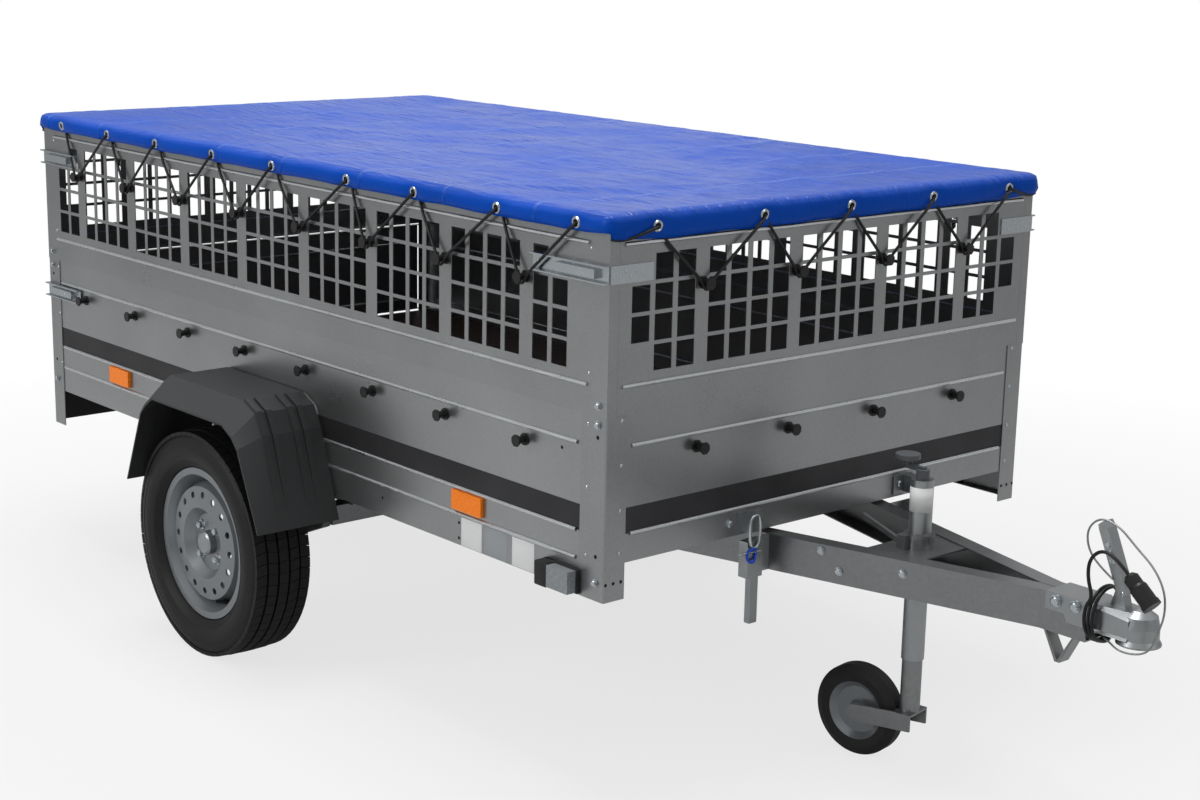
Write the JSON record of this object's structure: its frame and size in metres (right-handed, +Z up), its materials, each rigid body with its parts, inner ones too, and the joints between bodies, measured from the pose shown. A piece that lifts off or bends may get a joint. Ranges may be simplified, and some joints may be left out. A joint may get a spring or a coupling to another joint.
{
  "type": "utility trailer",
  "caption": "Tilting single-axle utility trailer with a galvanised sheet box, mesh extensions, a laced fabric cover, a drop tailgate, a ball coupling and a jockey wheel.",
  "frame": {"origin": "on the ground, midway along and across the whole trailer", "axes": "+X forward to the coupling, +Y to the trailer's left, +Z up"},
  "size_m": [3.2573, 1.722, 1.203],
  "materials": {
    "galvanised_sheet": "satin zinc spangle",
    "galvanised_steel": "dull hot-dip zinc",
    "zinc_plated_steel": "bright zinc plate",
    "plywood": "film-faced plywood",
    "black_plastic": "textured black",
    "cover_fabric": "coated cloth, slight sheen",
    "tyre_rubber": "matt",
    "wheel_rubber": "matt",
    "red_lens": "moulded lens",
    "amber_lens": "moulded lens",
    "clear_lens": "moulded lens",
    "cable_rubber": "matt black",
    "steel_wire": "coated wire rope"
  },
  "bodies": {
    "drawbar": {"drawbar_arm_right": "galvanised_steel", "drawbar_arm_left": "galvanised_steel", "drawbar_cross_plate": "galvanised_steel", "coupling": "zinc_plated_steel", "coupling_handle": "zinc_plated_steel", "drawbar_foot": "galvanised_steel", "jockey_clamp": "zinc_plated_steel", "jockey_outer_tube": "zinc_plated_steel", "jockey_crank": "zinc_plated_steel", "tilt_latches": "zinc_plated_steel", "electric_cable": "cable_rubber", "plug": "cable_rubber", "safety_wire": "steel_wire"},
    "bed": {"axle_hangers": "galvanised_steel", "axle_tube": "galvanised_steel", "corner_latches": "zinc_plated_steel", "cover": "cover_fabric", "fender_left": "black_plastic", "fender_right": "black_plastic", "floor": "plywood", "floor_bearers": "galvanised_sheet", "front_panel": "galvanised_sheet", "front_posts": "galvanised_sheet", "lacing_knobs_lower": "black_plastic", "lacing_knobs_upper": "black_plastic", "lamp_bar": "black_plastic", "marker_lamps": "clear_lens", "mesh_front": "galvanised_sheet", "mesh_rear": "galvanised_sheet", "mesh_side_left": "galvanised_sheet", "mesh_side_right": "galvanised_sheet", "rear_lamps": "red_lens", "rear_posts": "galvanised_sheet", "rear_sill": "galvanised_sheet", "side_panel_left": "galvanised_sheet", "side_panel_right": "galvanised_sheet", "side_reflectors": "amber_lens", "swing_arm_left": "galvanised_steel", "swing_arm_right": "galvanised_steel", "tailgate_hinges": "galvanised_steel", "tailgate_latches": "zinc_plated_steel", "tilt_keepers": "zinc_plated_steel"},
    "tailgate": {"tailgate": "galvanised_sheet", "tailgate_knobs": "black_plastic"},
    "wheel_right": {"hub_right": "galvanised_steel", "rim_right": "galvanised_steel", "tyre_right": "tyre_rubber"},
    "wheel_left": {"hub_left": "galvanised_steel", "rim_left": "galvanised_steel", "tyre_left": "tyre_rubber"},
    "jockey_leg": {"jockey_leg": "zinc_plated_steel"},
    "jockey_wheel": {"jockey_rim": "zinc_plated_steel", "jockey_tyre": "wheel_rubber"}
  },
  "joints": [
    {"name": "bed_tilt", "type": "hinge", "parent": "drawbar", "child": "bed", "pos_m": [-0.33, 0, 0.446], "axis": [0, -1, 0], "range_deg": [0, 13]},
    {"name": "tailgate_hinge", "type": "hinge", "parent": "bed", "child": "tailgate", "pos_m": [-1.585, 0, 0.512], "axis": [0, -1, 0], "range_deg": [0, 90]},
    {"name": "wheel_spin_right", "type": "hinge", "parent": "bed", "child": "wheel_right", "pos_m": [-0.48, -0.758, 0.2735], "axis": [0, 1, 0], "continuous": true},
    {"name": "wheel_spin_left", "type": "hinge", "parent": "bed", "child": "wheel_left", "pos_m": [-0.48, 0.758, 0.2735], "axis": [0, 1, 0], "continuous": true},
    {"name": "jockey_swivel", "type": "hinge", "parent": "drawbar", "child": "jockey_leg", "pos_m": [1.029, 0, 0.2], "axis": [0, 0, 1], "continuous": true},
    {"name": "jockey_spin", "type": "hinge", "parent": "jockey_leg", "child": "jockey_wheel", "pos_m": [0.91082, -0.02084, 0.1], "axis": [0.1736, -0.9848, 0], "continuous": true}
  ]
}
